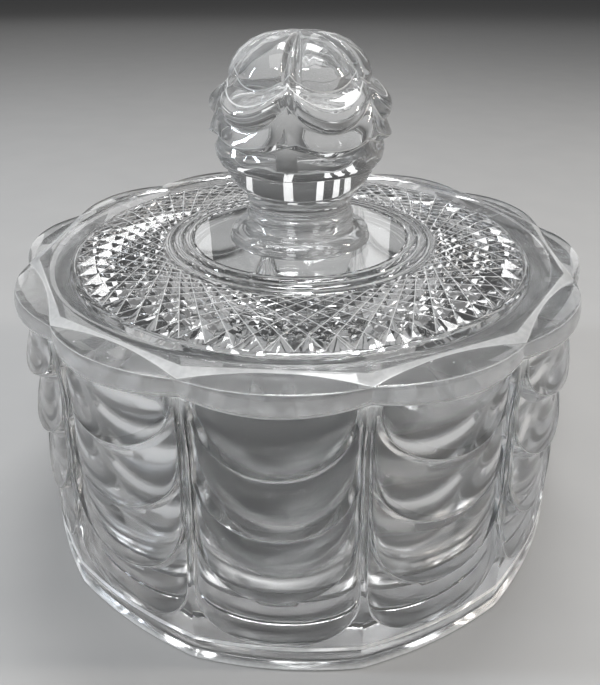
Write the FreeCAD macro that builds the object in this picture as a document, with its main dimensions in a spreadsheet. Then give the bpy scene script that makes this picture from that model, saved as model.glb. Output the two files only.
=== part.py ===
"""Cut-crystal powder jar with a lift-off lid and a ball knob.

Millimetres, +Z up, origin at the centre of the base where the jar stands.
Twelve panels stand round the jar, one of them facing -Y. Each panel hangs four
tiers of U-shaped swags; each tier flares from a valley out to a sharp lower edge.
"""
import FreeCAD, Part
import os
import math
import Sketcher

Vector = FreeCAD.Vector

DIMENSIONS = {
    # the whole jar
    "panel_count": 12,
    "column_radius": 72.0,        # at the pleated columns between two panels, under the seat
    "body_height": 73.4,          # base to the ground seat under the lid
    # panels and their swags, one swag under the other
    "panel_bulge": 4.3,           # how far the sharp lower edges stand out past the columns
    "swag_depth": 2.5,            # how far the valleys lie behind the sharp edges
    "swag_margin": 0.235,         # from the deepest swag's side to the column
    "swag_nesting": 0.35,         # each swag above the deepest is this much narrower
    "swag_roundness": 0.5,        # radius of a swag's round bottom, over its half width
    "swag_share_first": 0.2198,   # the swags' bottoms, as shares of the wall under the seat
    "swag_share_second": 0.4718,
    "swag_share_third": 0.7466,
    "swag_share_fourth": 0.9802,
    # foot, past the columns
    "foot_corner_spread": 4.8,
    "foot_face_bulge": 3.9,
    "foot_height": 7.9,
    "base_rim_width": 16.0,
    "base_recess_depth": 1.0,
    # cavity
    "wall_thickness": 10.0,       # at a column, round the mouth
    "mouth_spare": 2.0,           # straight mouth left under the lid's flange
    "cavity_taper": 3.5,
    "floor_thickness": 10.0,
    "floor_fillet": 4.0,
    # lid
    "lid_overhang": 2.6,          # its sharp edge on the lobes, past the columns
    "lid_edge_height": 4.4,       # seat to that edge
    "lid_shoulder_inset": 3.6,
    "lid_shoulder_rise": 5.8,     # seat to the top of the bevel
    "lid_ring_inset": 12.6,       # outer edge of the diamond-cut band
    "lid_ring_rise": 4.9,
    "bead_outer_radius": 37.4,
    "bead_outer_rise": 6.6,
    "bead_width": 4.1,
    "bead_slope": 0.2,            # rise across a bead
    "bead_step": 0.35,            # step up on to a bead
    "flange_clearance": 0.8,
    "flange_thickness": 4.2,
    "flange_depth": 5.0,
    # knob
    "knob_foot_radius": 18.9,
    "knob_foot_height": 2.3,
    "knob_neck_radius": 14.1,
    "knob_neck_flare": 2.2,
    "knob_ball_radius": 22.8,
    "knob_ball_height": 28.9,     # lid floor to the ball's centre
    "knob_panel_count": 6,
    "knob_notch_width": 1.6,
    "knob_notch_depth": 1.4,
    "knob_notch_low": 12.0,       # the notches' two ends, in degrees above the ball's middle
    "knob_notch_high": 80.0,
}
BEAD_COUNT = 2
OVERLAP = 1.0                     # how far a feature runs past a face it cuts or joins
CUTTER_LENGTH = 10.0              # how far a cutter runs out past the whole wall
CORE_MARGIN = 6.0                 # from the columns in to the plain round core
FOOT_WEDGE_SHARE = 0.5            # the foot's wedges end at this share of its radius

os.makedirs("parts", exist_ok=True)
doc = FreeCAD.newDocument("powder_jar")
sheet = doc.addObject("Spreadsheet::Sheet", "dims")
for row, (alias, number) in enumerate(DIMENSIONS.items(), start=1):
    sheet.set(f"A{row}", alias)
    sheet.set(f"B{row}", str(number))
    sheet.setAlias(f"B{row}", alias)
doc.recompute()

# Sizes that follow from the driving ones, as expressions on the sheet
HALF_PANEL = "(180 deg / dims.panel_count)"
SEAT = "dims.body_height"
WALL_HEIGHT = "(dims.body_height - dims.foot_height)"
CORE_RADIUS = f"(dims.column_radius - {CORE_MARGIN})"
PANEL_RADIUS = "(dims.column_radius + dims.panel_bulge)"
FOOT_CORNER = "(dims.column_radius + dims.foot_corner_spread)"
SWAG_HALF_WIDTH = f"(dims.column_radius * sin({HALF_PANEL}) - dims.swag_margin)"
SWAG_ARC = f"({SWAG_HALF_WIDTH} + dims.swag_roundness)"
MOUTH_RADIUS = "(dims.column_radius - dims.wall_thickness)"
LID_EDGE = "(dims.column_radius + dims.lid_overhang)"
LID_SHOULDER = "(dims.column_radius - dims.lid_shoulder_inset)"
LID_FLOOR_RISE = f"(dims.bead_outer_rise + {BEAD_COUNT} * (dims.bead_slope + dims.bead_step))"
LID_FLOOR = f"({SEAT} + {LID_FLOOR_RISE})"
BALL_CENTRE = f"({LID_FLOOR} + dims.knob_ball_height)"
FLANGE_OUTER = f"({MOUTH_RADIUS} - dims.flange_clearance)"
FLANGE_INNER = f"({FLANGE_OUTER} - dims.flange_thickness)"


def number(expression):
    """The plain value of an expression on the sheet."""
    result = sheet.evalExpression(expression)
    return float(getattr(result, "Value", result))


def make_body(label):
    body = doc.addObject("PartDesign::Body", label)
    body.Label = label
    body.Placement = FreeCAD.Placement()
    return body


def origin_feature(body, role):
    return next(item for item in body.Origin.OriginFeatures if item.Role == role)


def make_sketch(body, name, plane):
    sketch = body.newObject("Sketcher::SketchObject", name)
    sketch.AttachmentSupport = [(origin_feature(body, plane), "")]
    sketch.MapMode = "FlatFace"
    return sketch


def lift(sketch, expression):
    """Moves a sketch along its plane's normal."""
    sketch.setExpression(".AttachmentOffset.Base.z", expression)


def lean_sketch(sketch, height, reach, lean):
    """Stands a sketch on -Y, reach from the axis at a height, its top leaning in to the axis."""
    sketch.AttachmentOffset = FreeCAD.Placement(
        Vector(0, number(height), number(reach)),
        FreeCAD.Rotation(Vector(1, 0, 0), -number(lean)))
    sketch.setExpression(".AttachmentOffset.Base.y", height)
    sketch.setExpression(".AttachmentOffset.Base.z", reach)
    sketch.setExpression(".AttachmentOffset.Rotation.Angle", f"-{lean}")


def place_point(sketch, point, x, y):
    """Holds one point at (x, y) expressions, measured from the sketch's origin."""
    for kind, expression, axis in (("DistanceX", x, -2), ("DistanceY", y, -1)):
        value = number(expression)
        if abs(value) < 1e-9:
            sketch.addConstraint(Sketcher.Constraint("PointOnObject", *point, axis))
            continue
        ends = (-1, 1, *point) if value > 0 else (*point, -1, 1)
        index = sketch.addConstraint(Sketcher.Constraint(kind, *ends, abs(value)))
        signed = expression if value > 0 else f"-({expression})"
        sketch.setExpression(f"Constraints[{index}]", signed)


def outline(sketch, corners, arcs=None):
    """A closed outline through corners given as (x, y) expressions.

    arcs maps a side's number to (radius expression, side of the chord that its
    centre lies on: 1 for left, -1 for right, looking along the side).
    """
    arcs = arcs or {}
    points = [Vector(number(x), number(y), 0) for x, y in corners]
    sides = []
    for index, start in enumerate(points):
        end = points[(index + 1) % len(points)]
        if index not in arcs:
            sides.append((sketch.addGeometry(Part.LineSegment(start, end), False), 1, 2))
            continue
        expression, turn = arcs[index]
        radius = number(expression)
        chord = end - start
        left = Vector(-chord.y, chord.x, 0).normalize()
        reach = math.sqrt(radius ** 2 - chord.Length ** 2 / 4)
        centre = (start + end) / 2 + left * reach * turn
        angles = [math.atan2(p.y - centre.y, p.x - centre.x) for p in (start, end)]
        circle = Part.Circle(centre, Vector(0, 0, 1), radius)
        if turn > 0:
            arc, first, last = Part.ArcOfCircle(circle, angles[0], angles[1]), 1, 2
        else:
            arc, first, last = Part.ArcOfCircle(circle, angles[1], angles[0]), 2, 1
        geometry = sketch.addGeometry(arc, False)
        sides.append((geometry, first, last))
    for index, (geometry, first, last) in enumerate(sides):
        following, start, _ = sides[(index + 1) % len(sides)]
        sketch.addConstraint(Sketcher.Constraint("Coincident", geometry, last, following, start))
    for (geometry, first, _), (x, y) in zip(sides, corners):
        place_point(sketch, (geometry, first), x, y)
    for index, (expression, _) in arcs.items():
        constraint = Sketcher.Constraint("Radius", sides[index][0], number(expression))
        sketch.setExpression(f"Constraints[{sketch.addConstraint(constraint)}]", expression)


def circle(sketch, centre_y, radius):
    """A circle on the sketch's Y axis."""
    middle = Vector(0, number(centre_y), 0)
    ring = sketch.addGeometry(Part.Circle(middle, Vector(0, 0, 1), number(radius)), False)
    place_point(sketch, (ring, 3), "0", centre_y)
    index = sketch.addConstraint(Sketcher.Constraint("Radius", ring, number(radius)))
    sketch.setExpression(f"Constraints[{index}]", radius)


def pad(body, sketch, name, length):
    feature = body.newObject("PartDesign::Pad", name)
    feature.Profile = sketch
    feature.setExpression("Length", length)
    doc.recompute()
    return feature


def pocket(body, sketch, name, length, outward=False, midplane=False):
    feature = body.newObject("PartDesign::Pocket", name)
    feature.Profile = sketch
    feature.Reversed = outward
    feature.Midplane = midplane
    feature.setExpression("Length", length)
    doc.recompute()
    return feature


def turn(body, sketch, name, kind):
    """A PartDesign Revolution or Groove about the jar's axis."""
    feature = body.newObject(f"PartDesign::{kind}", name)
    feature.Profile = sketch
    feature.ReferenceAxis = (sketch, ["V_Axis"])
    feature.Angle = 360
    doc.recompute()
    return feature


def ring_pattern(body, originals, name, count):
    pattern = body.newObject("PartDesign::PolarPattern", name)
    pattern.Originals = originals
    pattern.Axis = (origin_feature(body, "Z_Axis"), [""])
    pattern.Angle = 360
    pattern.setExpression("Occurrences", count)
    body.Tip = pattern
    doc.recompute()
    return pattern


def lobed_prism(body, prefix, peak, bottom, height):
    """A prism whose outline is one arc per panel, meeting in notches at the columns."""
    chord = f"(dims.column_radius * sin({HALF_PANEL}))"
    rise = f"({peak} - dims.column_radius * cos({HALF_PANEL}))"
    arc_radius = f"(({chord} * {chord} + {rise} * {rise}) / (2 * {rise}))"

    core = make_sketch(body, f"{prefix}_core_outline", "XY_Plane")
    circle(core, "0", CORE_RADIUS)
    lift(core, bottom)
    pad(body, core, f"{prefix}_core", height)

    lobe = make_sketch(body, f"{prefix}_lobe_outline", "XY_Plane")
    circle(lobe, f"-({peak} - {arc_radius})", arc_radius)
    lift(lobe, bottom)
    lobe_pad = pad(body, lobe, f"{prefix}_lobe", height)
    ring_pattern(body, [lobe_pad], f"{prefix}_lobes", "dims.panel_count")


def swag_u(sketch, half_width, bottom, top):
    """A U: straight sides and a round bottom, closed across the top."""
    drop = f"({SWAG_ARC} - sqrt({SWAG_ARC} ^ 2 - ({half_width}) ^ 2))"
    foot = f"({bottom} + {drop})"
    outline(
        sketch,
        [(f"-({half_width})", foot), (half_width, foot), (half_width, top), (f"-({half_width})", top)],
        arcs={0: (SWAG_ARC, 1)},
    )


def make_jar_body():
    body = make_body("jar_body")
    lobed_prism(body, "wall", PANEL_RADIUS, "dims.foot_height", WALL_HEIGHT)
    # The columns spread from the seat down to the corners of the foot
    skirt = body.newObject("PartDesign::AdditiveCone", "skirt")
    skirt.AttachmentSupport = [(origin_feature(body, "XY_Plane"), "")]
    skirt.MapMode = "FlatFace"
    skirt.setExpression(".AttachmentOffset.Base.z", "dims.foot_height")
    skirt.setExpression("Radius1", PANEL_RADIUS)
    skirt.setExpression("Radius2", "dims.column_radius")
    skirt.setExpression("Height", WALL_HEIGHT)
    doc.recompute()

    bottoms = [f"({SEAT} - dims.swag_share_{name} * {WALL_HEIGHT})"
               for name in ("first", "second", "third", "fourth")]
    widths = [f"({SWAG_HALF_WIDTH} - dims.swag_nesting * {3 - tier})" for tier in range(4)]
    cuts = []
    for tier, bottom in enumerate(bottoms):
        # The flute's floor leans out, from the valley at its top to the edge at its bottom
        above = bottoms[tier - 1] if tier else SEAT
        lean = f"atan(dims.swag_depth / ({above} - {bottom}))"
        flute = make_sketch(body, f"swag_flute_{tier + 1}", "XZ_Plane")
        lean_sketch(flute, bottom, PANEL_RADIUS, lean)
        top = f"({SEAT} - {bottom} + {OVERLAP * (len(bottoms) + tier)})"
        swag_u(flute, widths[tier], "0", top)
        if tier:
            hole_bottom = f"(({above} - {bottom}) / cos({lean}))"
            swag_u(flute, widths[tier - 1], hole_bottom, f"({top} - {OVERLAP})")
        cuts.append(pocket(body, flute, f"swag_{tier + 1}", str(CUTTER_LENGTH), outward=True))

    # Flat facets in the corners beside the last swag, from the foot's faces in to the columns
    foot_flat = f"({FOOT_CORNER} * cos({HALF_PANEL}))"
    column_flat = f"(dims.column_radius * cos({HALF_PANEL}))"
    lean = f"atan(({foot_flat} - {column_flat}) / {WALL_HEIGHT})"
    corner = make_sketch(body, "corner_facet_outline", "XZ_Plane")
    lean_sketch(corner, "dims.foot_height", foot_flat, lean)
    side = f"({FOOT_CORNER} * tan({HALF_PANEL}))"
    top = f"({WALL_HEIGHT} + {CUTTER_LENGTH})"
    outline(corner, [(f"-{side}", "0"), (side, "0"), (side, top), (f"-{side}", top)])
    swag_u(corner, widths[3], f"({bottoms[3]} - dims.foot_height)", f"({top} - {OVERLAP})")
    cuts.append(pocket(body, corner, "corner_facets", str(CUTTER_LENGTH), outward=True))
    ring_pattern(body, cuts, "panels", "dims.panel_count")

    # Foot: a twelve-sided band, one gently bulged face under each panel
    face = make_sketch(body, "foot_face_outline", "XY_Plane")
    half_side = f"({FOOT_CORNER} * sin({HALF_PANEL}))"
    bulge = f"(dims.column_radius + dims.foot_face_bulge - {foot_flat})"
    face_arc = f"(({half_side} ^ 2 + {bulge} ^ 2) / (2 * {bulge}))"
    inner_side, inner_flat = (f"{FOOT_WEDGE_SHARE} * {size}" for size in (half_side, foot_flat))
    outline(face, [(f"-{half_side}", f"-{foot_flat}"), (half_side, f"-{foot_flat}"),
                   (inner_side, f"-{inner_flat}"), (f"-{inner_side}", f"-{inner_flat}")],
            arcs={0: (face_arc, 1)})
    foot = pad(body, face, "foot_face", "dims.foot_height")
    ring_pattern(body, [foot], "foot", "dims.panel_count")
    middle = make_sketch(body, "foot_middle_outline", "XY_Plane")
    circle(middle, "0", CORE_RADIUS)
    pad(body, middle, "foot_middle", "dims.foot_height")

    cavity = make_sketch(body, "cavity_section", "XZ_Plane")
    floor = "dims.floor_thickness"
    floor_radius = f"({MOUTH_RADIUS} - dims.cavity_taper)"
    fillet = "dims.floor_fillet"
    outline(
        cavity,
        [("0", floor), (f"{floor_radius} - {fillet}", floor),
         (floor_radius, f"{floor} + {fillet}"),
         (MOUTH_RADIUS, f"{SEAT} - dims.flange_depth - dims.mouth_spare"),
         (MOUTH_RADIUS, f"{SEAT} + {OVERLAP}"), ("0", f"{SEAT} + {OVERLAP}")],
        arcs={1: (fillet, 1)},
    )
    turn(body, cavity, "cavity", "Groove")

    recess = make_sketch(body, "base_recess_section", "XZ_Plane")
    radius = "(dims.column_radius - dims.base_rim_width)"
    outline(recess, [("0", f"-{OVERLAP}"), (radius, f"-{OVERLAP}"),
                     (f"{radius} - dims.base_recess_depth", "dims.base_recess_depth"),
                     ("0", "dims.base_recess_depth")])
    body.Tip = turn(body, recess, "base_recess", "Groove")
    return body


def make_lid():
    body = make_body("lid")
    lobed_prism(body, "edge", LID_EDGE, SEAT, f"{LID_FLOOR_RISE} + {OVERLAP}")

    flange = make_sketch(body, "flange_section", "XZ_Plane")
    bottom = f"({SEAT} - dims.flange_depth)"
    joint = f"({SEAT} + {OVERLAP})"
    outline(flange, [(FLANGE_INNER, bottom), (FLANGE_OUTER, bottom),
                     (FLANGE_OUTER, joint), (FLANGE_INNER, joint)])
    turn(body, flange, "flange", "Revolution")

    over = make_sketch(body, "top_section", "XZ_Plane")
    edge = f"({LID_EDGE} + {CUTTER_LENGTH})"
    bevel = f"(dims.lid_shoulder_rise - dims.lid_edge_height) / ({LID_EDGE} - {LID_SHOULDER})"
    outer_rise = f"({SEAT} + dims.lid_edge_height - {CUTTER_LENGTH} * {bevel})"
    top = f"({LID_FLOOR} + {CUTTER_LENGTH})"
    beads = []
    for bead in range(BEAD_COUNT, 0, -1):
        inner = f"(dims.bead_outer_radius - {bead} * dims.bead_width)"
        outer = f"({inner} + dims.bead_width)"
        rise = f"({SEAT} + dims.bead_outer_rise + {bead} * (dims.bead_slope + dims.bead_step))"
        beads += [(inner, rise), (outer, f"{rise} - dims.bead_slope")]
    outline(over, [
        (edge, outer_rise),
        (edge, top),
        ("0", top),
        ("0", LID_FLOOR),
        *beads,
        ("dims.bead_outer_radius", f"{SEAT} + dims.bead_outer_rise"),
        ("(dims.column_radius - dims.lid_ring_inset)", f"{SEAT} + dims.lid_ring_rise"),
        (LID_SHOULDER, f"{SEAT} + dims.lid_shoulder_rise"),
    ])
    body.Tip = turn(body, over, "top_cut", "Groove")
    return body


def make_knob():
    body = make_body("knob")
    section = make_sketch(body, "knob_section", "XZ_Plane")
    foot_top = f"({LID_FLOOR} + dims.knob_foot_height)"
    neck = "dims.knob_neck_radius"
    flare = "dims.knob_neck_flare"
    join = f"({BALL_CENTRE} - sqrt(dims.knob_ball_radius ^ 2 - {neck} ^ 2))"
    outline(
        section,
        [("0", LID_FLOOR), ("dims.knob_foot_radius", LID_FLOOR),
         ("dims.knob_foot_radius", foot_top), (f"{neck} + {flare}", foot_top),
         (neck, f"{foot_top} + {flare}"), (neck, join),
         ("0", f"{BALL_CENTRE} + dims.knob_ball_radius")],
        arcs={3: (flare, -1), 5: ("dims.knob_ball_radius", 1)},
    )
    turn(body, section, "knob_turned", "Revolution")

    # One shallow upright notch between each two panels, from the pole to the ball's middle
    notch = make_sketch(body, "notch_section", "YZ_Plane")
    inner = "(dims.knob_ball_radius - dims.knob_notch_depth)"
    outer = f"(dims.knob_ball_radius + {OVERLAP})"
    low, high = "dims.knob_notch_low * 1 deg", "dims.knob_notch_high * 1 deg"
    outline(
        notch,
        [(f"{radius} * cos({angle})", f"{BALL_CENTRE} + {radius} * sin({angle})")
         for radius, angle in ((inner, low), (outer, low), (outer, high), (inner, high))],
        arcs={1: (outer, 1), 3: (inner, -1)},
    )
    cut = pocket(body, notch, "column_notch", "dims.knob_notch_width", midplane=True)
    ring_pattern(body, [cut], "column_notches", "dims.knob_panel_count")
    return body


bodies = [make_jar_body(), make_lid(), make_knob()]
doc.recompute()

for item in doc.Objects:
    if "Invalid" in item.State or "Error" in item.State:
        raise RuntimeError(f"{item.Name} failed: {item.State}")
for body in bodies:
    shape = body.Shape
    if shape.isNull() or not shape.isValid() or len(shape.Solids) != 1:
        raise RuntimeError(f"{body.Label} isn't one valid solid")
    box = shape.BoundBox
    print(f"{body.Label}: {shape.Volume / 1000:.1f} cm3, "
          f"x {box.XMin:.2f}..{box.XMax:.2f}, z {box.ZMin:.2f}..{box.ZMax:.2f}")
    shape.exportStep(f"parts/{body.Label}.step")
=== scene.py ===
import math

import bmesh
import bpy
import numpy as np
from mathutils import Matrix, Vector


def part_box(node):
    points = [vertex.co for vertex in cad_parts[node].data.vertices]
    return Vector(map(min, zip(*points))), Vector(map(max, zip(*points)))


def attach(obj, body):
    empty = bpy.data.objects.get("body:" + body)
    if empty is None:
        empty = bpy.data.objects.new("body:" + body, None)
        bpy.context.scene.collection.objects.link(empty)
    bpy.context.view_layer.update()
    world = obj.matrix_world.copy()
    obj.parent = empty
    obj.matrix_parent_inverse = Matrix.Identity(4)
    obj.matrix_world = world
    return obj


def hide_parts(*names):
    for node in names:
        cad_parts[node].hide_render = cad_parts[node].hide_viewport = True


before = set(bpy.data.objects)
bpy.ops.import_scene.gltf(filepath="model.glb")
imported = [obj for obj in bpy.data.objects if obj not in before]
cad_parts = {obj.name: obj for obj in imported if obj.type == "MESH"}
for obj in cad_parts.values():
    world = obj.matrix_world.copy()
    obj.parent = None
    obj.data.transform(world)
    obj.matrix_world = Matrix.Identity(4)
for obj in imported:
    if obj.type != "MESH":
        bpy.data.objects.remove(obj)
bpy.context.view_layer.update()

# ---------------------------------------------------------------- sizes, in millimetres
MM = 0.001
jar_high = np.array(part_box("jar_body"))[1] / MM
lid_low, lid_high = np.array(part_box("lid")) / MM
knob_high = np.array(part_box("knob"))[1] / MM

PANELS = 12
HALF_PANEL = math.pi / PANELS
SEAT = jar_high[2]                      # the ground ring that the lid rests on
LID_FLOOR = lid_high[2]
PANEL_RADIUS = jar_high[0]              # the swags' sharp edges in the middle of a panel
COLUMN_RADIUS = PANEL_RADIUS - 4.3      # the pleated columns, at the seat
COLUMN_X = COLUMN_RADIUS * math.sin(HALF_PANEL)
CHORD = math.cos(HALF_PANEL)            # from a corner's radius to the flat's, on a twelve-sided outline
STAR_Z = SEAT + 4.4                     # where the lid's facets meet over a column

# Each swag: its bottom, its half width where the round bottom ends, its half width
# at the seat, the height of the round bottom, and how square that bottom is
SWAGS = [
    (59.1, 16.7, 17.15, 12.2, 2.0),
    (42.5, 17.3, 17.55, 14.4, 2.1),
    (23.4, 17.2, 17.9, 19.5, 2.1),
    (8.5, 17.9, 18.35, 17.5, 2.35),
]
SWAG_RELIEF = 2.5                       # from a sharp edge back to the valley under it
SWAG_CURVE = 3.0                        # how late a hollow rises to the sharp edge under it
PLEAT_SPREAD = 4.3                      # swags closer than this run out into fine pleats
PLEAT_CURVE = 1.4                       # how fast their relief fades there
STEP_HEIGHT = 3.0                       # the slanted step under a sharp edge
STEP_SHARES = (0.05, 0.3)               # the least and the most that it takes of a swag's height
STEP_DEPTH = 0.62                       # the share of the relief that its first half falls
SWAG_CREASES = (0.45, 0.5, 0.75, 0.6)   # width of the polish on each swag's edge
EDGE_HIGHLIGHT = 0.9                         # how much white is painted on the sharp edges as a highlight

# The columns stand upright down to here under their stars, and then spread out over this height
SPREAD_START = 18.0
SPREAD_HEIGHT = 47.0
# The swags' sharp edges stand out less towards the top: by how much, from where, over what height
TOP_LEAN = 0.7
LEAN_START = 40.0
LEAN_HEIGHT = 30.0

FOOT_TOP = 7.8
FOOT_CORNER = 76.8
FOOT_BULGE = 1.7                        # how far the middle of each side stands out
FOOT_BULGE_HEIGHT = 20.0                # above the foot the bulge dies away over this height
# The foot's face, from the top: how far in from its upper edge, the height, and how much white is painted on
# as a highlight
FOOT_ROWS = [
    (0.15, FOOT_TOP - 0.05, 0.8),
    (-0.35, FOOT_TOP - 0.8, 0.8),
    (-0.1, FOOT_TOP - 1.2, 0.0),
    (0.25, 5.0, 0.0),
    (0.25, 2.6, 0.0),
    (0.1, 2.2, 0.0),
    (-0.75, 1.0, 0.8),
    (-0.8, 0.5, 0.8),
    (-0.5, 0.1, 0.0),
    (0.2, 0.0, 0.0),
]
MOUTH_RADIUS = COLUMN_RADIUS - 10.0
MOUTH_DEPTH = 7.0
CAVITY_FLOOR_RADIUS = MOUTH_RADIUS - 3.5
FLOOR_Z = 10.0
FLOOR_FILLET = 4.0
RECESS_RADIUS = COLUMN_RADIUS - 16.0
RECESS_DEPTH = 1.0
SEAT_GAP = 0.06                         # the film of air between the two ground rings


# ---------------------------------------------------------------- rows of points joined into shells
class Shell:
    """A surface built row by row; rows may differ in length."""

    def __init__(self):
        self.points = []
        self.faces = []
        self.highlight_white = []

    def row(self, points):
        """Adds a row of (x, y, z) points; a fourth value says how much white is painted on them as a
        highlight.
        """
        points = np.asarray(points, float)
        first = len(self.points)
        self.points.extend(points[:, :3].tolist())
        highlight_white = points[:, 3] if points.shape[1] == 4 else np.zeros(len(points))
        self.highlight_white.extend(highlight_white.tolist())
        return list(range(first, len(self.points)))

    def azimuth(self, index):
        """A point's angle from -Y, to the right."""
        x, y, _ = self.points[index]
        return math.atan2(x, -y)

    def join(self, upper, lower):
        """Quads between rows of one length, triangles between two that differ."""
        if len(upper) == len(lower):
            for k in range(len(upper) - 1):
                self.faces.append((upper[k], upper[k + 1], lower[k + 1], lower[k]))
            return
        i = j = 0
        while i < len(upper) - 1 or j < len(lower) - 1:
            up = self.azimuth(upper[i + 1]) if i < len(upper) - 1 else math.inf
            down = self.azimuth(lower[j + 1]) if j < len(lower) - 1 else math.inf
            if up <= down:
                self.faces.append((upper[i], upper[i + 1], lower[j]))
                i += 1
            else:
                self.faces.append((upper[i], lower[j + 1], lower[j]))
                j += 1

    def skin(self, rows):
        """Adds rows one under the other, joins them, and returns them all."""
        made = [self.row(points) for points in rows]
        for upper, lower in zip(made, made[1:]):
            self.join(upper, lower)
        return made

    def close(self, row, height):
        """Closes a row in to a point on the axis."""
        tip = self.row([(0.0, 0.0, height)])[0]
        for k in range(len(row) - 1):
            self.faces.append((row[k], row[k + 1], tip))


def polar(radius, azimuth, height):
    """Points at a radius and an azimuth from -Y; any of the three may be an array."""
    radius, azimuth, height = np.broadcast_arrays(radius, azimuth, height)
    return np.stack([radius * np.sin(azimuth), -radius * np.cos(azimuth), height], axis=-1)


def ring(radius, height, half_angle=HALF_PANEL, count=30):
    """A sector's arc at one radius and height."""
    return polar(radius, np.linspace(-half_angle, half_angle, count + 1), height)


def mixed(first, second, share):
    """What lies a share of the way from the first to the second."""
    return first + (second - first) * share


def with_highlight(points, highlight_white):
    """Rows of (x, y, z) points with a painted-highlight value added to each."""
    return np.concatenate([points, np.broadcast_to(highlight_white, (len(points),))[:, None]], axis=1)


def polished(rows, creases, width, highlight_white):
    """Rounds the rows numbered in creases over a width, or one width for each, and paints a white highlight
    along them.
    """
    widths = dict(zip(creases, np.broadcast_to(width, (len(creases),))))
    done = []
    for number, points in enumerate(rows):
        if number not in creases:
            done.append(with_highlight(points, 0.0))
            continue
        sides = []
        for other in (rows[number - 1], rows[number + 1]):
            length = np.linalg.norm(other - points, axis=-1, keepdims=True)
            share = np.minimum(widths[number] / np.maximum(length, 1e-9), 0.4)
            sides.append(mixed(points, other, share))
        middle = (sides[0] + 2 * points + sides[1]) / 4
        done += [with_highlight(sides[0], 0.0), with_highlight(middle, highlight_white), with_highlight(sides[1], 0.0)]
    return done


# ---------------------------------------------------------------- the jar's panel
ROUND_STEPS = 24
SIDE_STEPS = 14
SEAT_SHARE = 0.974                      # the seat's width over the first swag's
# The rows of a hollow, closer together towards the sharp edge under it
HOLLOW_SHARES = 1 - (1 - np.linspace(0, 1, 11)[1:-1]) ** 1.6
# The rows from the lowest swag to the panel's border
BORDER_SHARES = (0.12, 0.3, 0.5, 0.75, 1.0)
STAR_HIGHLIGHT_WIDTH = 2.8                       # half the width of the white arch painted at each column's top as a highlight
STAR_HIGHLIGHT_HEIGHT = 6.0


def mirrored(half):
    """A whole row from its right half, which starts in the middle of the panel."""
    left = half[:0:-1] * np.array([-1.0, 1.0])
    return np.concatenate([left, half])


def swag_line(bottom, half_width, top_width, rounding, squareness):
    """A swag's edge as (x, z): a round bottom, then a side up to the seat."""
    turn = np.linspace(0, math.pi / 2, ROUND_STEPS + 1)
    x = half_width * np.sin(turn) ** (2 / squareness)
    z = bottom + rounding * (1 - np.cos(turn) ** (2 / squareness))
    rise = np.linspace(0, 1, SIDE_STEPS + 1)[1:]
    side_x = half_width + (top_width - half_width) * rise
    side_z = bottom + rounding + (SEAT - bottom - rounding) * rise
    return np.stack([np.r_[x, side_x], np.r_[z, side_z]], axis=-1)


def seat_line():
    """The top of the first swag: the jar's upper edge."""
    below = swag_line(*SWAGS[0])
    return np.stack([below[:, 0] * SEAT_SHARE, np.full(len(below), SEAT)], axis=-1)


def frame_line():
    """The border of a panel: along the top of the foot, then up the column."""
    across = np.sin(np.linspace(0, math.pi / 2, ROUND_STEPS + 1)) * COLUMN_X
    rise = np.linspace(0, 1, SIDE_STEPS + 1)[1:]
    foot = np.stack([across, np.full(ROUND_STEPS + 1, FOOT_TOP)], axis=-1)
    side = np.stack([np.full(SIDE_STEPS, COLUMN_X), FOOT_TOP + (SEAT - FOOT_TOP) * rise], axis=-1)
    return np.concatenate([foot, side])


def column_radius(z):
    """The columns stand upright under the seat and spread towards the foot."""
    spread = np.clip((STAR_Z - SPREAD_START - z) / SPREAD_HEIGHT, 0, 1)
    return COLUMN_RADIUS + (FOOT_CORNER - COLUMN_RADIUS) * spread


def flat_radius(x, z):
    """The flat face between two columns, bulged a little over the foot."""
    across = x / COLUMN_X
    bulge = FOOT_BULGE * np.clip(1 - (z - FOOT_TOP) / FOOT_BULGE_HEIGHT, 0, 1)
    return column_radius(z) * CHORD / np.cos(across * HALF_PANEL) + bulge * (1 - across ** 2)


def edge_radius(x, z):
    """The bulged surface that the swags' sharp edges lie on."""
    across = x / COLUMN_X
    column = column_radius(z)
    middle = PANEL_RADIUS - TOP_LEAN * np.clip((z - LEAN_START) / LEAN_HEIGHT, 0, 1)
    return column * CHORD / np.cos(across * HALF_PANEL) + (middle - column * CHORD) * (1 - across ** 2)


def stand(line, radius):
    """A flat (x, z) line wrapped on to the jar at a radius."""
    return polar(radius, line[:, 0] / COLUMN_X * HALF_PANEL, line[:, 1])


def jar_panel():
    """All rows of one panel, from the seat down to the foot's top."""
    lines = [seat_line()] + [swag_line(*swag) for swag in SWAGS]
    rows, creases = [], []
    for tier, (above, below) in enumerate(zip(lines, lines[1:])):
        spacing = np.linalg.norm(below - above, axis=-1)
        relief = SWAG_RELIEF * (1 - np.exp(-(spacing / PLEAT_SPREAD) ** PLEAT_CURVE))
        step = np.clip(STEP_HEIGHT / np.maximum(spacing, 1e-6), *STEP_SHARES)
        if tier == 0:
            # No swag over this one: its hollow starts straight from the seat
            start = 0 * step
            shares, depths = [start], [relief]
        else:
            start = step
            shares, depths = [step * 0.5, step], [relief * STEP_DEPTH, relief]
        for share in HOLLOW_SHARES:
            shares.append(start + (1 - start) * share)
            depths.append(relief * (1 - share ** SWAG_CURVE))
        for share, depth in zip(shares, depths):
            line = mirrored(mixed(above, below, share[:, None]))
            whole = np.r_[depth[:0:-1], depth]
            rows.append(stand(line, edge_radius(line[:, 0], line[:, 1]) - whole))
        line = mirrored(below)
        creases.append(len(rows))
        rows.append(stand(line, edge_radius(line[:, 0], line[:, 1])))
    border = frame_line()
    for share in BORDER_SHARES:
        line = mirrored(mixed(lines[-1], border, share))
        rows.append(stand(line, flat_radius(line[:, 0], line[:, 1])))
    rows = polished(rows, creases, width=SWAG_CREASES, highlight_white=EDGE_HIGHLIGHT)
    return [np.c_[row[:, :3], np.maximum(row[:, 3], star_highlight(row))] for row in rows]


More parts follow.
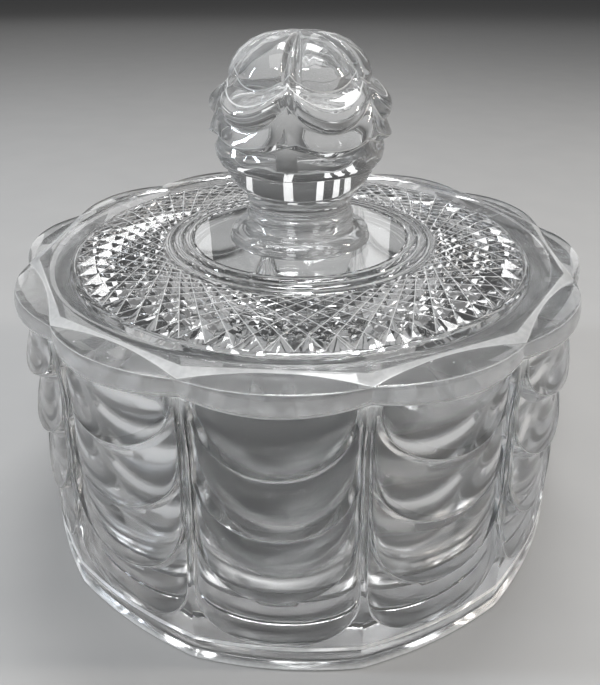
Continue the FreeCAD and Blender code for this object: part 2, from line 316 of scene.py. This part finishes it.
def star_highlight(points):
    """A small white arch painted at the top of each column as a highlight, where the pleats run together."""
    azimuth = np.arctan2(points[:, 0], -points[:, 1])
    aside = (HALF_PANEL - np.abs(azimuth)) * COLUMN_RADIUS
    reach = np.hypot(aside / STAR_HIGHLIGHT_WIDTH, (points[:, 2] - SEAT) / STAR_HIGHLIGHT_HEIGHT)
    # Fully white near the seat, clear at the arch's rim
    return np.clip(1.6 - 1.5 * reach, 0, 1)


def jar_sector():
    """One panel of the jar with its share of the foot, the base, the seat and the hollow."""
    shell = Shell()
    panel = shell.skin(jar_panel())
    # The foot: down its faces, painted white along its upper and lower edges as highlights, then in under the
    # base
    across = mirrored(frame_line()[:ROUND_STEPS + 1])
    azimuth = across[:, 0] / COLUMN_X * HALF_PANEL
    top = flat_radius(across[:, 0], FOOT_TOP)
    foot_rows = [with_highlight(polar(top - inset, azimuth, z), highlight_white) for inset, z, highlight_white in FOOT_ROWS]
    foot_top = panel[-1][SIDE_STEPS:len(panel[-1]) - SIDE_STEPS]
    foot = shell.skin(foot_rows)
    shell.join(foot_top, foot[0])
    base = shell.skin([ring(RECESS_RADIUS, 0.0), ring(RECESS_RADIUS - 0.5, RECESS_DEPTH * 0.8),
                       ring(RECESS_RADIUS - 1.5, RECESS_DEPTH), ring(30, RECESS_DEPTH)])
    shell.join(foot[-1], base[0])
    shell.close(base[-1], RECESS_DEPTH)
    # The seat, from the panel's upper edge in to the mouth, and the cavity
    edge = [row[0] for row in reversed(panel)] + panel[0][1:-1] + [row[-1] for row in panel]
    turn = np.linspace(0, math.pi / 2, 7)
    fillet = [(CAVITY_FLOOR_RADIUS - FLOOR_FILLET * (1 - math.cos(a)),
               FLOOR_Z + FLOOR_FILLET * (1 - math.sin(a))) for a in turn]
    profile = [(MOUTH_RADIUS + 0.5, SEAT), (MOUTH_RADIUS + 0.15, SEAT - 0.12), (MOUTH_RADIUS, SEAT - 0.5),
               (MOUTH_RADIUS, SEAT - MOUTH_DEPTH + 0.4), (MOUTH_RADIUS - 0.05, SEAT - MOUTH_DEPTH - 0.4),
               (mixed(MOUTH_RADIUS, CAVITY_FLOOR_RADIUS, 0.5), mixed(SEAT - MOUTH_DEPTH, FLOOR_Z, 0.5)),
               *fillet, (40, FLOOR_Z), (20, FLOOR_Z)]
    cavity = shell.skin([ring(radius, z) for radius, z in profile])
    shell.join(edge, cavity[0])
    shell.close(cavity[-1], FLOOR_Z)
    return shell


# ---------------------------------------------------------------- the lid
LID_EDGE = lid_high[0]
SHOULDER_RADIUS = 69.4                  # the corners of the twelve-sided shoulder
SHOULDER_Z = SEAT + 5.8
LENS_CUT = 4.2                          # how far the lens cuts go in from the columns' radius
LENS_RISE = 1.2                         # how much higher than the stars their upper edge runs
ARRIS_RISE = 0.8                        # the same for the sharp edge under them
SCALLOP_REACH = 3.0                     # the lower edge, out from the columns' radius
SCALLOP_LIFT = 0.9                      # how much higher it is over a column
BELLY_SWELL = 0.006                     # how much the belly under the arris swells, as a share
# How much white is painted on the edge's rows once it is polished, as highlights: the shoulder band, the
# belly and the seam line
SHOULDER_HIGHLIGHT = 0.42 * EDGE_HIGHLIGHT
EDGE_HIGHLIGHTS = {0: SHOULDER_HIGHLIGHT, 1: SHOULDER_HIGHLIGHT, 8: 0.2, 9: 0.2, 10: 0.2, 11: 0.35, 12: 1.0, 13: 1.0}
BAND_OUTER = COLUMN_RADIUS - 12.6       # the diamond-cut band
BAND_INNER = 37.4
BAND_OUTER_Z = SEAT + 4.9
BAND_INNER_Z = SEAT + 6.6
BAND_CROWN = 0.35                       # how far it bulges between its two borders
# The smooth ring between the shoulder and the diamonds: radius and height
SMOOTH_RING = [
    (66.4, SHOULDER_Z),
    (66.1, SHOULDER_Z - 0.15),
    (63.5, SHOULDER_Z - 0.5),
    (61.0, BAND_OUTER_Z + 0.05),
    (60.6, BAND_OUTER_Z + 0.3),
    (60.1, BAND_OUTER_Z + 0.42),
    (59.7, BAND_OUTER_Z + 0.2),
]
CUT_CIRCLE = 32.4                       # every straight cut is tangent to this circle
CUTS = 60
CUT_ROWS = 9
CUT_WIDTH = 0.3                         # the line that each cut leaves, painted white as a highlight
# how much white is painted on the cuts' crossings as a highlight
CUT_HIGHLIGHT = 0.7
DIAMOND_HEIGHT = 0.35                   # of the space between two cuts
POINT_RISE = 0.65                       # the share of it that the points stand over the band
CROSSING_DROP = 0.35                    # the share that the crossings lie under it
BORDER_HEIGHT = 0.45                    # what is left of it along the two borders
BEADS = 3
BEADS_INNER = 29.2
BEADS_TOP = LID_FLOOR - 0.25            # their feet, at the floor and at the band
BEADS_BOTTOM = BAND_INNER_Z - 0.2
BEAD_CROWN = 0.55
FLANGE_OUTER = MOUTH_RADIUS - 0.8
FLANGE_INNER = FLANGE_OUTER - 4.2
FLANGE_BOTTOM = lid_low[2]


def lid_edge_rows():
    """The lid's outer facets, from the shoulder down to the seat."""
    across = np.linspace(-1, 1, 49)
    azimuth = across * HALF_PANEL
    lobe = 1 - across ** 2
    corner = np.abs(across) ** 1.5
    bottom = SEAT + SEAT_GAP
    shoulder = polar(SHOULDER_RADIUS * CHORD / np.cos(azimuth), azimuth, SHOULDER_Z)
    lens_top = polar(COLUMN_RADIUS - LENS_CUT * lobe, azimuth, STAR_Z + LENS_RISE * lobe ** 0.8)
    arris = polar(COLUMN_RADIUS + (LID_EDGE - COLUMN_RADIUS) * lobe, azimuth, STAR_Z + ARRIS_RISE * lobe)
    scallop_radius = COLUMN_RADIUS + 0.2 + SCALLOP_REACH * lobe
    scallop = polar(scallop_radius, azimuth, bottom + SCALLOP_LIFT * corner)
    seat = polar(scallop_radius - 0.5 * corner - 0.15, azimuth, bottom)
    rows = [shoulder, lens_top, mixed(lens_top, arris, 0.5), arris]
    for share in (0.25, 0.5, 0.75):
        belly = mixed(arris, scallop, share)
        belly[:, :2] *= 1 + BELLY_SWELL * math.sin(share * math.pi) * lobe[:, None]
        rows.append(belly)
    rows += [scallop, seat]
    rows = polished(rows, creases=(1, 3, 7), width=(0.3, 0.3, 0.9), highlight_white=0.5 * EDGE_HIGHLIGHT)
    for number, highlight_white in EDGE_HIGHLIGHTS.items():
        rows[number] = with_highlight(rows[number][:, :3], highlight_white)
    inside = polar((SHOULDER_RADIUS - 0.3) * CHORD / np.cos(azimuth), azimuth, SHOULDER_Z)
    return [with_highlight(inside, 0.0), *rows]


def diamond_rows():
    """Crossing points of the straight cuts, row by row from the band's inner edge out."""
    inner_turn = math.acos(CUT_CIRCLE / BAND_INNER)
    outer_turn = math.acos(CUT_CIRCLE / BAND_OUTER)
    columns = CUTS // PANELS * 2
    azimuth = np.linspace(-HALF_PANEL, HALF_PANEL, columns + 1)
    rows = []
    for number in range(CUT_ROWS + 1):
        share = number / CUT_ROWS
        radius = CUT_CIRCLE / math.cos(mixed(inner_turn, outer_turn, share))
        rise = (BAND_OUTER - radius) / (BAND_OUTER - BAND_INNER)
        base = mixed(BAND_OUTER_Z, BAND_INNER_Z, rise) + BAND_CROWN * math.sin(rise * math.pi)
        height = DIAMOND_HEIGHT * 2 * math.pi / CUTS * math.sqrt(radius ** 2 - CUT_CIRCLE ** 2)
        parity = (np.arange(columns + 1) + number + 1) % 2
        if number in (0, CUT_ROWS):
            height *= BORDER_HEIGHT
        level = POINT_RISE * (1 - parity) - CROSSING_DROP * parity
        rows.append(polar(radius, azimuth, base + height * level))
    return rows


def diamond_band(shell):
    """Diamonds between cut lines painted white as highlights, four flat facets to each; returns the inner and
    outer rows.
    """
    rows = diamond_rows()
    made = []
    for number, points in enumerate(rows):
        crossing = (np.arange(len(points)) + number) % 2
        made.append(shell.row(with_highlight(points, crossing * CUT_HIGHLIGHT)))
    borders = {0: list(made[0]), CUT_ROWS: list(made[-1])}
    for number, row in enumerate(made):
        for column in range(number % 2, len(row), 2):
            top = rows[number][column]
            corners = [(number - 1, column), (number, column + 1), (number + 1, column), (number, column - 1)]
            corners = [(i, j) if 0 <= i < len(made) and 0 <= j < len(row) else None for i, j in corners]
            inner = []
            for at in corners:
                if at is None:
                    inner.append(None)
                    continue
                corner = rows[at[0]][at[1]]
                inner.append(shell.row([mixed(corner, top, CUT_WIDTH / np.linalg.norm(top - corner))])[0])
                if number in borders and at[0] == number:
                    borders[number].append(inner[-1])
            for side in range(4):
                after = (side + 1) % 4
                if corners[side] is None or corners[after] is None:
                    continue
                first, second = (made[i][j] for i, j in (corners[side], corners[after]))
                shell.faces.append((inner[side], inner[after], row[column]))
                shell.faces.append((first, second, inner[after], inner[side]))
    return (sorted(border, key=shell.azimuth) for border in borders.values())


def bead_profile():
    """Three rounded beads from the lid's floor down to the diamond band."""
    width = (BAND_INNER - BEADS_INNER) / BEADS
    profile = []
    for bead in range(BEADS):
        for share in (0.0, 0.08, 0.25, 0.5, 0.75, 0.92):
            radius = BEADS_INNER + width * (bead + share)
            fall = (bead + share) / BEADS
            crown = BEAD_CROWN * math.sqrt(max(0.0, 1 - (2 * share - 1) ** 2)) if share else 0.0
            profile.append((radius, mixed(BEADS_TOP, BEADS_BOTTOM, fall) + crown))
    return profile


def lid_sector():
    """One lobe of the lid: its edge, ring, diamonds, beads, floor, flange and underside."""
    shell = Shell()
    edge = shell.skin(lid_edge_rows())
    smooth = shell.skin([ring(radius, z) for radius, z in SMOOTH_RING])
    shell.join(edge[0], smooth[0])
    inner, outer = diamond_band(shell)
    shell.join(smooth[-1], outer)
    floor = shell.skin([ring(20.0, LID_FLOOR), ring(BEADS_INNER - 0.4, LID_FLOOR)]
                       + [ring(radius, z) for radius, z in bead_profile()])
    shell.join(floor[-1], inner)
    shell.close(floor[0], LID_FLOOR)
    bottom = SEAT + SEAT_GAP
    under = shell.skin([ring(radius, z) for radius, z in (
        (FLANGE_OUTER + 0.3, bottom), (FLANGE_OUTER, bottom - 0.3), (FLANGE_OUTER, FLANGE_BOTTOM + 0.5),
        (FLANGE_OUTER - 0.5, FLANGE_BOTTOM), (FLANGE_INNER + 0.5, FLANGE_BOTTOM),
        (FLANGE_INNER, FLANGE_BOTTOM + 0.5), (FLANGE_INNER, bottom - 1.0), (FLANGE_INNER - 0.3, bottom - 0.3),
        (FLANGE_INNER - 1.0, bottom), (30, bottom))])
    shell.join(edge[-1], under[0])
    shell.close(under[-1], bottom)
    return shell


# ---------------------------------------------------------------- the knob
KNOB_PANELS = 6
HALF_LOBE = math.pi / KNOB_PANELS
BALL_RADIUS = knob_high[0]
BALL_CENTRE = knob_high[2] - BALL_RADIUS
NECK_RADIUS = 14.1
KNOB_TURN = math.radians(-4.0)          # the columns stand a little off the jar's
POLE_DROP = 0.65                        # the puffs meet this far under the ball's top
NECK_START = 81.1                       # the floor height that the neck's profile is written for

# The ball, row by row from the pole to the neck: its polar angle over a column and in
# the middle of a lobe, how far it stands off the ball there and over the column, how deep
# the grooves beside the column are, and whether the row is a sharp edge
BALL = [
    (5.0, 6.0, -0.6, -0.7, 0.3, False),
    (11.0, 13.0, -0.3, -0.8, 0.7, False),
    (18.0, 22.0, 0.25, -0.8, 1.1, False),
    (26.0, 31.0, 0.55, -0.8, 1.3, False),
    (33.0, 40.0, 0.45, -0.8, 1.3, False),
    (39.0, 47.0, 0.0, -0.8, 1.2, False),
    (43.5, 52.0, -0.6, -0.8, 1.0, False),
    (46.5, 55.5, -1.3, -0.8, 0.9, False),
    (49.0, 58.0, -2.6, -0.8, 0.7, True),
    (50.5, 60.0, -2.55, -0.8, 0.6, False),
    (52.5, 63.5, -2.0, -0.8, 0.5, False),
    (54.5, 67.0, -1.0, -0.8, 0.5, False),
    (56.0, 70.0, 0.1, -0.7, 0.4, True),
    (58.5, 73.0, 0.8, -0.6, 0.4, False),
    (61.5, 76.5, 0.85, -0.6, 0.4, False),
    (64.5, 80.0, 0.3, -0.6, 0.3, False),
    (66.3, 82.4, -0.4, -0.6, 0.2, False),
    (67.6, 84.0, -1.5, -0.6, 0.0, True),
    (72.0, 85.5, -1.2, -0.45, 0.0, False),
    (80.0, 89.0, -0.3, -0.35, 0.0, False),
    (91.0, 93.0, 0.6, -1.3, 0.0, True),
    (91.3, 99.3, -2.2, -1.6, 0.0, True),
    (97.0, 103.0, -0.6, -0.5, 0.0, False),
    (104.0, 107.5, -0.3, -0.1, 0.0, False),
    (113.2, 113.2, -0.9, -0.5, 0.0, True),
    (114.8, 114.8, -1.6, -1.6, 0.0, False),
    (118.0, 118.0, -1.2, -1.2, 0.0, False),
    (124.0, 124.0, -0.9, -0.9, 0.0, False),
    (130.0, 130.0, -0.8, -0.8, 0.0, False),
    (136.0, 136.0, -0.9, -0.9, 0.0, False),
    (139.5, 139.5, -1.3, -1.3, 0.0, False),
]
CROSS_ROW = 20                          # this edge rises beside the column before it meets the cross
CROSS_RISE = 6.5                        # by this many degrees
CROSS_START = 0.8                       # from here to the column's middle it comes down again
CROSS_SPAN = 0.2
CROSS_GAP = 4.0                         # the row before it stays this many degrees above it
UNDER_CROSS = (21, 22)                  # these rows dip in a point at the middle of the lobe
GROOVE_PLACE = 0.84                     # the grooves beside the column, as shares of half a lobe
GROOVE_WIDTH = 0.07


def ball_rows():
    """The ball's rows from the pole to the neck, over one lobe."""
    across = np.linspace(-1, 1, 61)
    away = np.abs(across)
    azimuth = across * HALF_LOBE
    lobe = 1 - away ** 2.5
    groove = np.exp(-((away - GROOVE_PLACE) / GROOVE_WIDTH) ** 2)
    cross_rise = CROSS_RISE * away ** 2
    rows, creases = [], []
    for number, (column, middle, swell, column_swell, groove_depth, sharp) in enumerate(BALL):
        power = 1.2 if number in UNDER_CROSS else 2.0
        angle = middle + (column - middle) * away ** power
        if number == CROSS_ROW:
            back = np.clip((away - CROSS_START) / CROSS_SPAN, 0, 1)
            angle = middle - cross_rise + (column - middle + CROSS_RISE) * back
        if number == CROSS_ROW - 1:
            angle = np.minimum(angle, BALL[CROSS_ROW][1] - CROSS_GAP - cross_rise)
        radius = BALL_RADIUS + column_swell + (swell - column_swell) * lobe - groove_depth * groove
        if sharp:
            creases.append(number)
        angle = np.radians(angle)
        rows.append(polar(radius * np.sin(angle), azimuth, BALL_CENTRE + radius * np.cos(angle)))
    return polished(rows, creases, width=0.3, highlight_white=0.9 * EDGE_HIGHLIGHT)


def neck_profile():
    """From the ball down the ringed neck to the foot disc's lower edge."""
    return [(NECK_RADIUS + 0.1, 92.2), (13.7, 91.2), (13.5, 90.2), (13.6, 89.2), (14.2, 88.6), (14.4, 87.9),
            (14.2, 87.2), (13.7, 86.8), (13.9, 86.2), (14.2, 85.6), (14.9, 84.6), (16.2, 83.9), (17.6, 83.6),
            (18.3, 83.4), (18.6, 83.0), (18.7, 82.4), (18.75, 81.8), (18.9, 81.3)]


def knob_sector():
    """One lobe of the knob, from the pole to the sole."""
    shell = Shell()
    ball = shell.skin(ball_rows())
    shell.close(ball[0], BALL_CENTRE + BALL_RADIUS - POLE_DROP)
    count = len(ball[0]) - 1
    lift = LID_FLOOR - NECK_START
    neck = shell.skin([ring(radius, z + lift, HALF_LOBE, count) for radius, z in neck_profile()])
    shell.join(ball[-1], neck[0])
    sole = shell.skin([ring(19.1, LID_FLOOR - 0.05, HALF_LOBE, count)])
    shell.join(neck[-1], sole[0])
    shell.close(sole[0], LID_FLOOR - 0.05)
    return shell


# ---------------------------------------------------------------- node trees
class Wire:
    """One value in a node tree; arithmetic on it adds Math nodes."""

    def __init__(self, owner, socket):
        self.owner = owner
        self.socket = socket

    def math(self, operation, *values):
        return self.owner.node("ShaderNodeMath", {"operation": operation}, *values)

    def __add__(self, other):
        return self.math("ADD", self, other)

    def __sub__(self, other):
        return self.math("SUBTRACT", self, other)

    def __rsub__(self, other):
        return self.math("SUBTRACT", other, self)

    def __mul__(self, other):
        return self.math("MULTIPLY", self, other)

    def __truediv__(self, other):
        return self.math("DIVIDE", self, other)

    def __rtruediv__(self, other):
        return self.math("DIVIDE", other, self)

    __radd__ = __add__
    __rmul__ = __mul__

    def size(self):
        return self.math("ABSOLUTE", self)

    def root(self):
        return self.math("SQRT", self)

    def fade(self, low, high):
        """0 at low, 1 at high, smooth between."""
        return self.owner.node("ShaderNodeMapRange", {"interpolation_type": "SMOOTHSTEP"},
                               self, low, high, 0.0, 1.0)

    def siblings(self):
        """All the outputs of the node that this one comes from."""
        return [Wire(self.owner, socket) for socket in self.socket.node.outputs]


class NodeTree:
    """A tree of nodes and the one method that adds them."""

    def __init__(self, tree):
        self.tree = tree

    def node(self, kind, settings, *values, output=0, at=None, **named):
        """Adds a node; values fill its sockets in order, at by number and the rest by name."""
        made = self.tree.nodes.new(kind)
        for key, value in settings.items():
            setattr(made, key, value)
        for key, value in {**dict(enumerate(values)), **(at or {}), **named}.items():
            socket = made.inputs[key if isinstance(key, int) else key.replace("_", " ")]
            if isinstance(value, Wire):
                self.tree.links.new(value.socket, socket)
            else:
                socket.default_value = value
        return Wire(self, made.outputs[output]) if len(made.outputs) else None


# ---------------------------------------------------------------- repeating a sector round the axis
def repeat_tree():
    """Geometry nodes that set a sector round the Z axis and weld the copies into one shell."""
    group = bpy.data.node_groups.new("panels_round_the_axis", "GeometryNodeTree")
    sockets = [("Sector", "NodeSocketGeometry"), ("Copies", "NodeSocketInt"), ("Turn", "NodeSocketFloat"),
               ("Weld distance", "NodeSocketFloat"), ("Finish", "NodeSocketMaterial")]
    for name, kind in sockets:
        group.interface.new_socket(name, in_out="INPUT", socket_type=kind)
    group.interface.new_socket("Shell", in_out="OUTPUT", socket_type="NodeSocketGeometry")
    tree = NodeTree(group)
    sector, copies, turn, distance, finish = tree.node("NodeGroupInput", {}).siblings()[:len(sockets)]
    points = tree.node("GeometryNodePoints", {}, Count=copies)
    index = tree.node("GeometryNodeInputIndex", {})
    angle = index * (2 * math.pi / copies) + turn
    euler = tree.node("ShaderNodeCombineXYZ", {}, Z=angle)
    spin = tree.node("FunctionNodeEulerToRotation", {}, Euler=euler)
    placed = tree.node("GeometryNodeInstanceOnPoints", {}, Points=points, Instance=sector, Rotation=spin)
    real = tree.node("GeometryNodeRealizeInstances", {}, Geometry=placed)
    weld = tree.node("GeometryNodeMergeByDistance", {}, Geometry=real, Distance=distance)
    shell = tree.node("GeometryNodeSetMaterial", {}, Geometry=weld, Material=finish)
    tree.node("NodeGroupOutput", {}, shell)
    return group


PANELS_TREE = repeat_tree()
WELD_DISTANCE = 0.002                   # points nearer than this become one
LEAST_EDGE = 0.001                      # and edges shorter than this are taken out


def whole_piece(name, shell, copies, material, turn=0.0, sharp_angle=33.0):
    """Repeats a sector round the axis and returns it as one plain, closed mesh object."""
    mesh = bpy.data.meshes.new(name + "_sector")
    mesh.from_pydata((np.array(shell.points) * MM).tolist(), [], shell.faces)
    mesh.attributes.new("highlight_white", "FLOAT", "POINT").data.foreach_set("value", shell.highlight_white)
    sector = bpy.data.objects.new(name + "_sector", mesh)
    bpy.context.scene.collection.objects.link(sector)
    modifier = sector.modifiers.new("panels", "NODES")
    modifier.node_group = PANELS_TREE
    values = {"Copies": copies, "Turn": turn, "Weld distance": WELD_DISTANCE * MM, "Finish": material}
    for item in PANELS_TREE.interface.items_tree:
        if item.name in values:
            modifier[item.identifier] = values[item.name]
    depsgraph = bpy.context.evaluated_depsgraph_get()
    whole = bpy.data.meshes.new_from_object(sector.evaluated_get(depsgraph))
    sector.modifiers.clear()
    bpy.data.objects.remove(sector)
    whole.name = name
    work = bmesh.new()
    work.from_mesh(whole)
    bmesh.ops.dissolve_degenerate(work, edges=work.edges, dist=LEAST_EDGE * MM)
    bmesh.ops.recalc_face_normals(work, faces=work.faces)
    work.to_mesh(whole)
    work.free()
    whole.shade_smooth()
    whole.set_sharp_from_angle(angle=math.radians(sharp_angle))
    piece = bpy.data.objects.new(name, whole)
    bpy.context.scene.collection.objects.link(piece)
    return piece


# ---------------------------------------------------------------- finishes
GLASS_INDEX = 1.54
GLASS_TINTS = ((0.985, 0.99, 0.992, 1), (0.965, 0.975, 0.98, 1))
HIGHLIGHT_WHITE = (0.86, 0.87, 0.87, 1)    # white painted on as highlights
LAMP_TINT = (0.46, 0.463, 0.463, 1)     # what the glass passes of a lamp's light
TABLE_TINTS = ((0.37, 0.37, 0.37, 1), (0.41, 0.41, 0.405, 1))
MIX_COLOURS = (6, 7)                    # a Mix node's sockets for two colours
MIX_RESULT = 2                          # and the one that gives the colour between them


class Finish(NodeTree):
    """A material and its tree of nodes."""

    def __init__(self, name):
        self.material = bpy.data.materials.new(name)
        self.material.use_nodes = True
        super().__init__(self.material.node_tree)
        self.tree.nodes.clear()
        self.place = self.node("ShaderNodeTexCoord", {}, output="Object")

    def noise(self, scale, detail):
        return self.node("ShaderNodeTexNoise", {}, Vector=self.place, Scale=scale, Detail=detail)

    def blend(self, share, tints):
        """A colour between two."""
        return self.node("ShaderNodeMix", {"data_type": "RGBA"}, share,
                         at=dict(zip(MIX_COLOURS, tints)), output=MIX_RESULT)

    def done(self, surface):
        self.node("ShaderNodeOutputMaterial", {}, Surface=surface)
        return self.material


def crystal(name, seat_z, inside_rough=0.0, painted_sheen=0.0):
    """Polished lead crystal, ground matt where jar and lid meet, with white highlights painted on its sharp
    edges and a painted sheen where one is asked for.
    """
    finish = Finish(name)
    haze = finish.noise(60.0, 3.0)
    grain = finish.noise(900.0, 2.0)
    specks = grain.fade(0.68, 0.78)
    x, y, z = finish.node("ShaderNodeSeparateXYZ", {}, finish.place).siblings()
    out = (x * x + y * y).root()
    on_seat = 1 - (z - seat_z * MM).size().fade(0.1 * MM, 0.2 * MM)
    ground = on_seat * out.fade(MOUTH_RADIUS * MM, (MOUTH_RADIUS + 0.4) * MM)
    within = 1 - out.fade((MOUTH_RADIUS + 0.3) * MM, (MOUTH_RADIUS + 0.6) * MM)
    inside = within * z.fade((FLOOR_Z - 0.5) * MM, (FLOOR_Z - 0.1) * MM)
    # A faint haze, a few specks, the ground seat, and a softer inside where one is asked for
    rough = haze.fade(0.45, 0.75) * 0.02 + specks * 0.10 + ground * 0.2 + inside * inside_rough
    bump = finish.node("ShaderNodeBump", {}, Strength=0.03, Distance=0.4 * MM, Height=haze)
    glass = finish.node("ShaderNodeBsdfPrincipled", {}, Base_Color=finish.blend(haze, GLASS_TINTS),
                        Roughness=rough, IOR=GLASS_INDEX, Transmission_Weight=1.0, Normal=bump)
    # Painted highlights: white mixed into the glass on the sharp edges, the cut lines and the arches at the
    # columns' tops
    highlight_mask = finish.node("ShaderNodeAttribute", {"attribute_name": "highlight_white"}, output="Fac")
    # A painted sheen: white mixed in, in cloudy patches, where one is asked for
    painted_sheen_mask = haze.fade(0.2, 0.8) * painted_sheen
    highlight_shader = finish.node("ShaderNodeBsdfPrincipled", {}, Base_Color=HIGHLIGHT_WHITE, Roughness=0.5)
    shader = finish.node("ShaderNodeMixShader", {}, highlight_mask * (0.65 + grain * 0.35) + painted_sheen_mask, glass, highlight_shader)
    # Lamps shine through the glass on to whatever is behind it
    lamp_ray = finish.node("ShaderNodeLightPath", {}, output="Is Shadow Ray")
    clear = finish.node("ShaderNodeBsdfTransparent", {}, Color=LAMP_TINT)
    return finish.done(finish.node("ShaderNodeMixShader", {}, lamp_ray, shader, clear))


def table_finish():
    finish = Finish("pale_table")
    tint = finish.blend(finish.noise(30.0, 4.0), TABLE_TINTS)
    return finish.done(finish.node("ShaderNodeBsdfPrincipled", {}, Base_Color=tint, Roughness=0.55))


# ---------------------------------------------------------------- the pieces
def place_piece(piece, body, node):
    """Ties a finished piece to its body, in the place of its plain solid."""
    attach(piece, body)
    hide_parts(node)


jar_glass = crystal("jar_glass", SEAT, inside_rough=0.11)
lid_glass = crystal("lid_glass", SEAT + SEAT_GAP)
# The knob's glass gets a painted sheen, for the brightness of light off its many facets
knob_glass = crystal("knob_glass", 0, painted_sheen=0.3)
jar = whole_piece("cut_jar", jar_sector(), PANELS, jar_glass)
lid = whole_piece("cut_lid", lid_sector(), PANELS, lid_glass, sharp_angle=25.0)
knob = whole_piece("cut_knob", knob_sector(), KNOB_PANELS, knob_glass, HALF_LOBE + KNOB_TURN)
place_piece(jar, "jar", "jar_body")
place_piece(lid, "lid", "lid")
place_piece(knob, "lid", "knob")


# ---------------------------------------------------------------- table, lights and camera
MIDDLE = (0, 0, 0.06)
TABLE_SIZE = 8.0
TABLE_BACK = 1.0                        # how far its middle lies behind the jar
UNDER_FOOT = 0.15                       # the film of air between the foot and the table, in millimetres
# Each lamp: its name, place, aim, width and height in metres, watts and colour
LAMPS = [
    ("top_box", (0.05, 0.25, 0.9), MIDDLE, 0.35, 0.25, 4.0, (1, 1, 1)),
    ("wide_box", (0.0, -0.4, 1.4), (0, 0, 0), 1.2, 0.8, 8.0, (1, 1, 1)),
    ("left_box", (-0.8, -0.1, 0.45), MIDDLE, 0.06, 0.4, 3.2, (0.86, 0.92, 1.0)),
    ("right_box", (0.8, 0.0, 0.45), MIDDLE, 0.06, 0.4, 3.2, (1.0, 0.93, 0.86)),
    ("front_box", (-0.15, -0.6, 0.95), MIDDLE, 0.22, 0.08, 2.8, (1, 1, 1)),
]
# The strips behind the jar, seen upside down in the knob: their X and width
STRIPS = [(-1.06, 0.2), (-0.73, 0.14), (-0.41, 0.12), (0.06, 0.15), (0.87, 0.2)]
STRIP_Y = 1.5
STRIP_Z = 0.85
STRIP_HEIGHT = 0.9
STRIP_WATTS = 3.8                       # for each metre of width
WORLD_GREY = (0.07, 0.07, 0.071, 1)
# The camera: degrees to the right, degrees up from straight down, and its distance and
# its height over the columns' stars, both as shares of the columns' radius
CAMERA_TURN = 4.12
CAMERA_TILT = 59.55
CAMERA_REACH = 2.391
CAMERA_RISE = 0.963
CAMERA_LENS = 34.55                     # for a sensor 36 mm wide


def make_table():
    bpy.ops.mesh.primitive_plane_add(size=TABLE_SIZE, location=(0, TABLE_BACK, -UNDER_FOOT * MM))
    table = bpy.context.object
    table.name = "table"
    table.data.materials.append(table_finish())


def soft_box(name, place, aim, width, height, watts, colour):
    light = bpy.data.lights.new(name, "AREA")
    light.shape = "RECTANGLE"
    light.size, light.size_y = width, height
    light.energy = watts
    light.color = colour
    box = bpy.data.objects.new(name, light)
    box.location = place
    box.visible_camera = False
    box.rotation_euler = (Vector(aim) - Vector(place)).to_track_quat("-Z", "Y").to_euler()
    bpy.context.scene.collection.objects.link(box)


def make_studio():
    world = bpy.data.worlds.new("studio")
    world.use_nodes = True
    world.node_tree.nodes["Background"].inputs[0].default_value = WORLD_GREY
    world.cycles.sampling_method = "MANUAL"
    world.cycles.sample_map_resolution = 64
    bpy.context.scene.world = world
    for lamp in LAMPS:
        soft_box(*lamp)
    for number, (x, width) in enumerate(STRIPS):
        soft_box(f"back_strip_{number + 1}", (x, STRIP_Y, STRIP_Z), MIDDLE, width, STRIP_HEIGHT,
                 STRIP_WATTS * width, (1, 1, 1))


def make_camera():
    data = bpy.data.cameras.new("camera")
    data.lens = CAMERA_LENS
    data.sensor_width = 36.0
    data.clip_start = 0.01
    camera = bpy.data.objects.new("camera", data)
    azimuth = math.radians(CAMERA_TURN)
    distance = CAMERA_REACH * COLUMN_RADIUS * MM
    height = (STAR_Z + CAMERA_RISE * COLUMN_RADIUS) * MM
    camera.location = (distance * math.sin(azimuth), -distance * math.cos(azimuth), height)
    camera.rotation_euler = (math.radians(CAMERA_TILT), 0, azimuth)
    bpy.context.scene.collection.objects.link(camera)
    bpy.context.scene.camera = camera


def set_light_paths():
    """Enough bounces for glass behind glass, and no focused light."""
    cycles = bpy.context.scene.cycles
    cycles.max_bounces = 24
    cycles.transmission_bounces = 24
    cycles.glossy_bounces = 12
    cycles.transparent_max_bounces = 24
    cycles.caustics_refractive = False
    cycles.caustics_reflective = False


bpy.context.scene.view_settings.view_transform = "Standard"
make_table()
make_studio()
make_camera()
set_light_paths()
